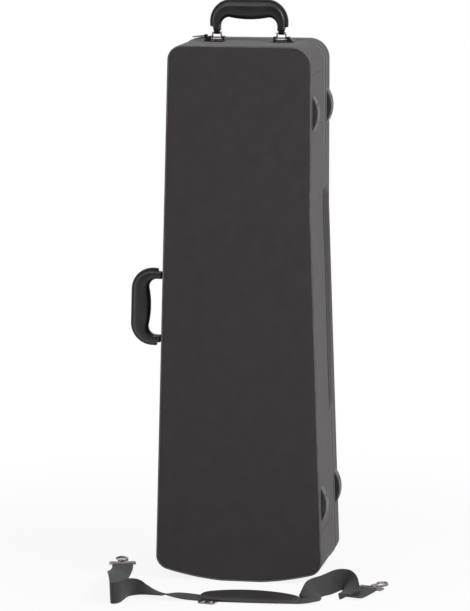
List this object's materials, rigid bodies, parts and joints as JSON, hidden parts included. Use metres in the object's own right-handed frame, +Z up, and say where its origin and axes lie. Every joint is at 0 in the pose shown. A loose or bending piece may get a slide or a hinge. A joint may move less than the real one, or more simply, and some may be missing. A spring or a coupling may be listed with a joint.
{
  "type": "valve trombone case",
  "caption": "Upright hard case for a valve trombone: cloth-covered shell, zipped hinged lid, two carrying handles, bumper feet and a padded shoulder strap.",
  "frame": {"origin": "on the flat of the bottom end, in line with the mid depth of the case", "axes": "+Z up the case as it stands, -Y out of the flat front panel, +X towards the feet and the lid's hinge, -X towards the side handle"},
  "size_m": [0.5245, 0.4404, 1.03],
  "materials": {
    "cover_cloth": "woven nylon, matt",
    "piping_vinyl": "satin vinyl cord",
    "rim_binding": "woven tape, satin",
    "zip_tape": "fine woven tape",
    "zip_coil": "nylon coil",
    "plywood": "raw plywood",
    "plush_lining": "short plush over foam",
    "foot_plastic": "moulded, fine grain",
    "fastener_steel": "blackened steel, worn",
    "black_metal": "black enamel",
    "ring_steel": "dark nickel",
    "hook_metal": "dark nickel, worn",
    "handle_leather": "dark grained leather",
    "webbing": "ribbed nylon webbing",
    "pad_cloth": "smooth padded cloth"
  },
  "bodies": {
    "base": {"front_board": "plywood", "base_wall_frame": "plywood", "front_cover": "cover_cloth", "front_piping": "piping_vinyl", "top_end_cover": "cover_cloth", "bottom_end_cover": "cover_cloth", "handle_side_cover": "cover_cloth", "foot_side_cover": "cover_cloth", "base_rim_binding": "rim_binding", "base_zip_tape": "zip_tape", "base_zip_coil": "zip_coil", "base_hinge_leaf": "cover_cloth", "base_lining": "plush_lining", "base_foot_top": "foot_plastic", "base_foot_bottom": "foot_plastic", "base_foot_screws": "fastener_steel", "handle_backing_plates": "fastener_steel", "case_rivets": "fastener_steel", "top_handle_brackets": "black_metal", "side_handle_brackets": "black_metal", "ring_tabs": "black_metal", "bell_cradle": "plush_lining", "valve_cradle": "plush_lining", "tube_rest": "plush_lining", "accessory_box": "plywood", "accessory_lid_pin": "fastener_steel", "mouthpiece_block": "plush_lining"},
    "lid": {"lid_shell": "plywood", "lid_cover": "cover_cloth", "lid_lining": "plush_lining", "lid_rim_binding": "rim_binding", "lid_zip_tape": "zip_tape", "lid_zip_coil": "zip_coil", "lid_hinge_leaf": "cover_cloth", "lid_foot_top": "foot_plastic", "lid_foot_bottom": "foot_plastic", "lid_foot_screws": "fastener_steel"},
    "top_handle": {"top_handle_grip": "handle_leather", "top_handle_flange": "handle_leather", "top_handle_rings": "ring_steel"},
    "side_handle": {"side_handle_grip": "handle_leather", "side_handle_flange": "handle_leather", "side_handle_rings": "ring_steel"},
    "upper_ring": {"strap_ring_upper": "ring_steel"},
    "lower_ring": {"strap_ring_lower": "ring_steel"},
    "top_slider": {"zip_slider_top": "black_metal"},
    "top_pull": {"zip_pull_top": "black_metal"},
    "side_slider": {"zip_slider_side": "black_metal"},
    "side_pull": {"zip_pull_side": "black_metal"},
    "compartment_lid": {"accessory_lid": "plywood"},
    "strap": {"strap_webbing_left": "webbing", "strap_webbing_right": "webbing", "strap_pad": "pad_cloth", "strap_adjuster": "black_metal", "swivel_eyes": "hook_metal"},
    "left_hook": {"snap_hook_left": "hook_metal"},
    "left_gate": {"hook_gate_left": "hook_metal"},
    "right_hook": {"snap_hook_right": "hook_metal"},
    "right_gate": {"hook_gate_right": "hook_metal"}
  },
  "joints": [
    {"name": "lid_hinge", "type": "hinge", "parent": "base", "child": "lid", "pos_m": [0.1399, 0.05, 0.47], "axis": [0.0244, 0, -0.9997], "range_deg": [0, 110]},
    {"name": "top_handle_hinge", "type": "hinge", "parent": "base", "child": "top_handle", "pos_m": [0.0009, -0.01, 0.9585], "axis": [1, 0, 0], "range_deg": [-65, 65]},
    {"name": "side_handle_hinge", "type": "hinge", "parent": "base", "child": "side_handle", "pos_m": [-0.14281, -0.01, 0.4751], "axis": [0.0257, 0, 0.9997], "range_deg": [-65, 65]},
    {"name": "upper_ring_hinge", "type": "hinge", "parent": "base", "child": "upper_ring", "pos_m": [-0.13446, -0.01, 0.8001], "axis": [0, 1, 0], "range_deg": [0, 170]},
    {"name": "lower_ring_hinge", "type": "hinge", "parent": "base", "child": "lower_ring", "pos_m": [-0.15012, -0.01, 0.1901], "axis": [0, 1, 0], "range_deg": [0, 170]},
    {"name": "top_slider_slide", "type": "slide", "parent": "base", "child": "top_slider", "axis": [1, 0, 0], "range_m": [0, 0.17]},
    {"name": "top_pull_hinge", "type": "hinge", "parent": "top_slider", "child": "top_pull", "pos_m": [-0.088, 0.05, 0.96], "axis": [0, 1, 0], "range_deg": [0, 150]},
    {"name": "side_slider_slide", "type": "slide", "parent": "base", "child": "side_slider", "axis": [-0.0257, 0, -0.9997], "range_m": [0, 0.7]},
    {"name": "side_pull_hinge", "type": "hinge", "parent": "side_slider", "child": "side_pull", "pos_m": [-0.13468, 0.05, 0.85014], "axis": [0, 1, 0], "range_deg": [0, 150]},
    {"name": "compartment_lid_hinge", "type": "hinge", "parent": "base", "child": "compartment_lid", "pos_m": [0.0485, -0.02, 0.731], "axis": [0, 0, 1], "range_deg": [0, 110]},
    {"name": "strap_lift", "type": "slide", "parent": "base", "child": "strap", "axis": [0, 0, 1], "range_m": [0, 0.3]},
    {"name": "left_hook_swivel", "type": "hinge", "parent": "strap", "child": "left_hook", "pos_m": [-0.229, -0.026, 0.0046], "axis": [-0.225, 0.9744, 0], "continuous": true},
    {"name": "left_gate_hinge", "type": "hinge", "parent": "left_hook", "child": "left_gate", "pos_m": [-0.24043, -0.00093, 0.0046], "axis": [0, 0, -1], "range_deg": [0, 28], "stiffness_Nm_per_rad": 0.02, "springref_deg": -11.46},
    {"name": "right_hook_swivel", "type": "hinge", "parent": "strap", "child": "right_hook", "pos_m": [0.239, -0.146, 0.0046], "axis": [0.4226, 0.9063, 0], "continuous": true},
    {"name": "right_gate_hinge", "type": "hinge", "parent": "right_hook", "child": "right_gate", "pos_m": [0.24543, -0.11921, 0.0046], "axis": [0, 0, -1], "range_deg": [0, 28], "stiffness_Nm_per_rad": 0.02, "springref_deg": -11.46}
  ]
}
